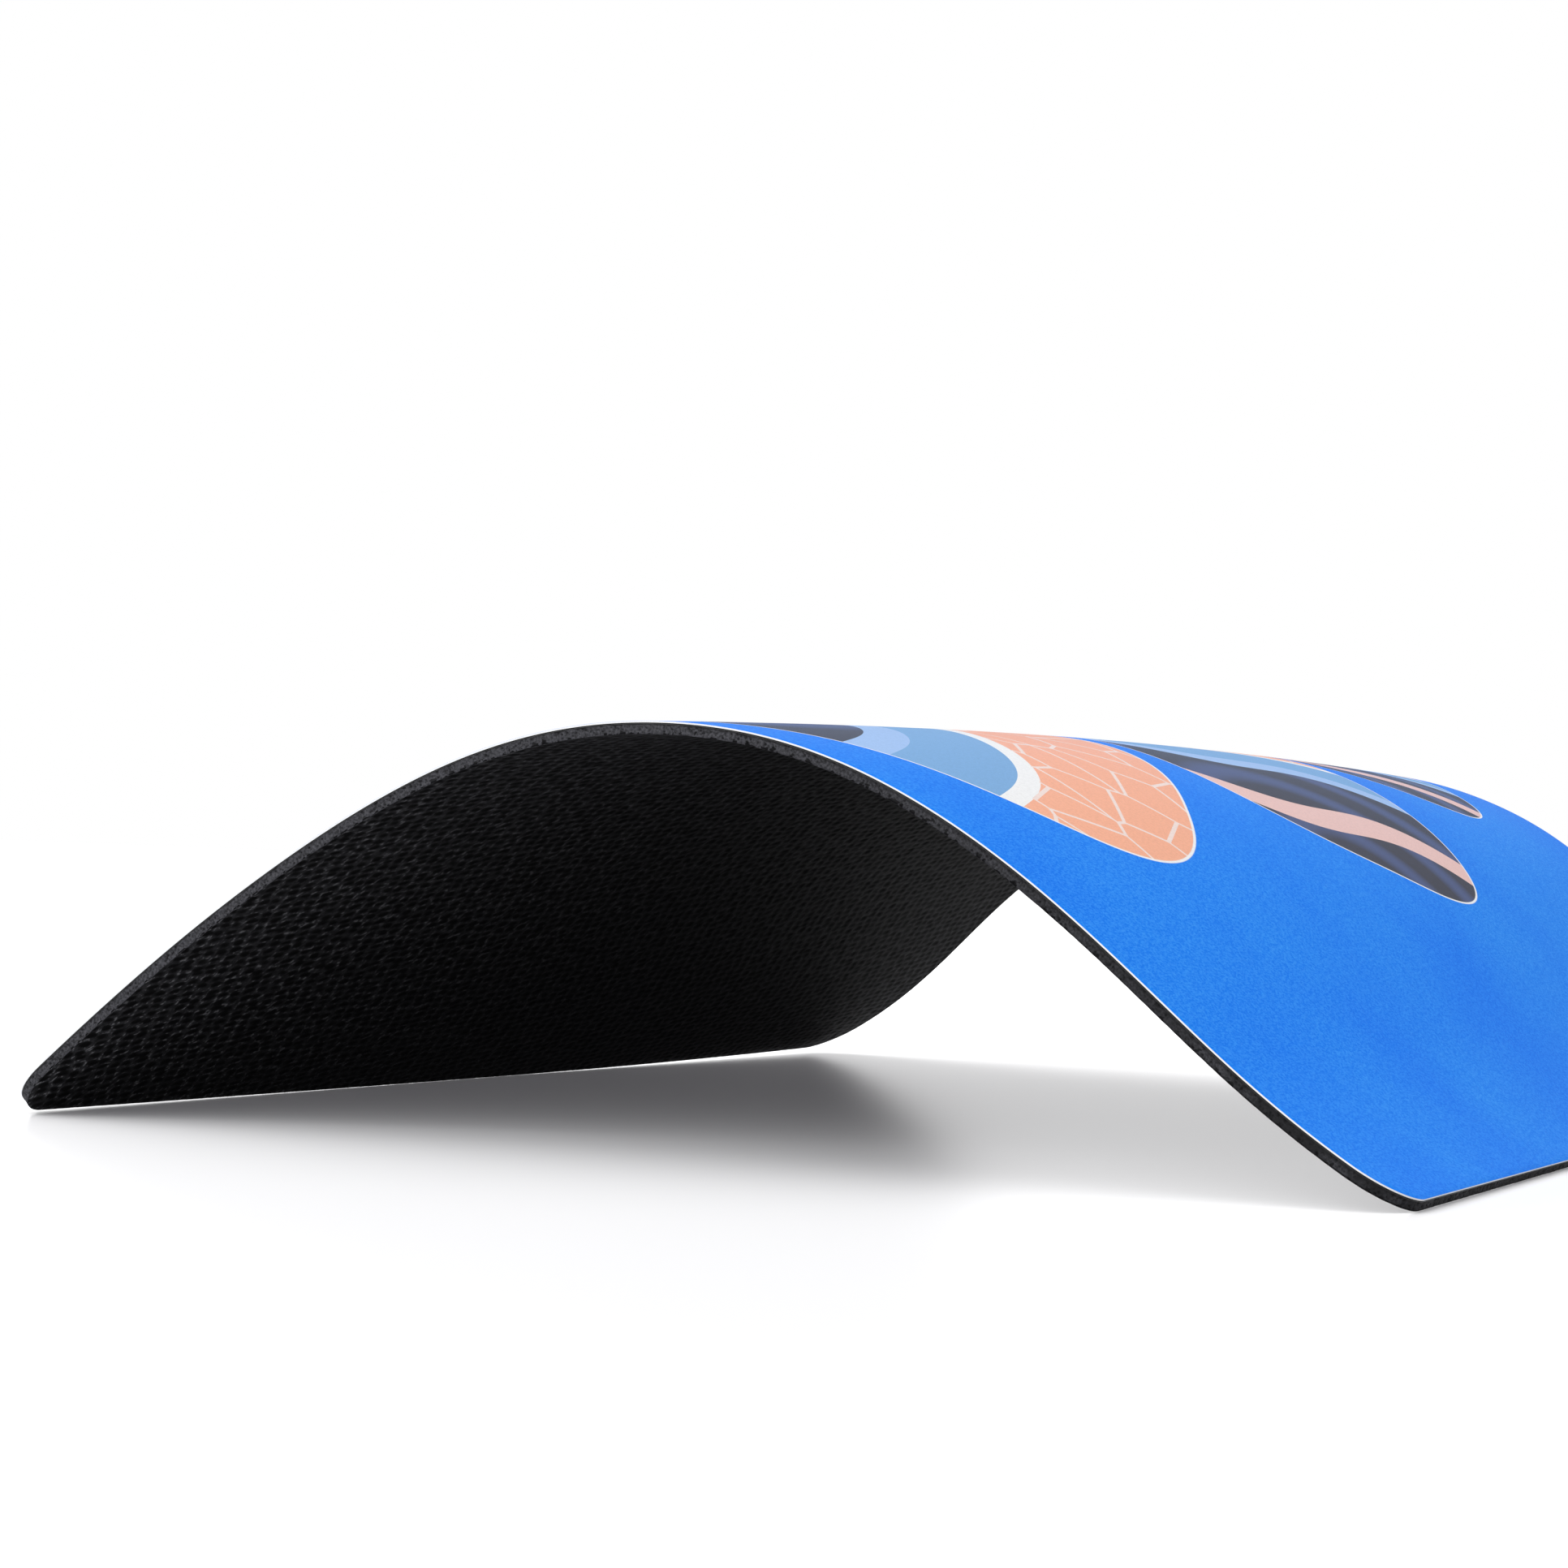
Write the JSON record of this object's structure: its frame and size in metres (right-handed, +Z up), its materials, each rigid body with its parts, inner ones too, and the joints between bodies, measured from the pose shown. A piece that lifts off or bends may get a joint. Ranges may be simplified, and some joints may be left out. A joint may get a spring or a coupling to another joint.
{
  "type": "mouse pad",
  "caption": "Thin mouse pad: printed cloth on foamed rubber with a moulded anti-slip underside and round corners, bent into an arch that stands on its end edges.",
  "frame": {"origin": "on the ground, below the middle of the arch's box", "axes": "+X runs along the bent edges from the left foot to the right foot, +Y runs along the straight end edges away from the near edge, +Z is up"},
  "size_m": [0.1716, 0.24, 0.0521],
  "materials": {
    "dyed_cloth": "fine knitted polyester, dyed by heat transfer, matt with a faint sheen",
    "glue_film": "thin dark glue line",
    "foamed_rubber": "cut foam with fine open pores, matt",
    "moulded_skin": "black rubber skin moulded with small staggered cells, satin"
  },
  "bodies": {
    "root": {"printed_cloth": "dyed_cloth", "adhesive_film": "glue_film", "foam_core": "foamed_rubber", "grip_skin": "moulded_skin"}
  },
  "joints": []
}
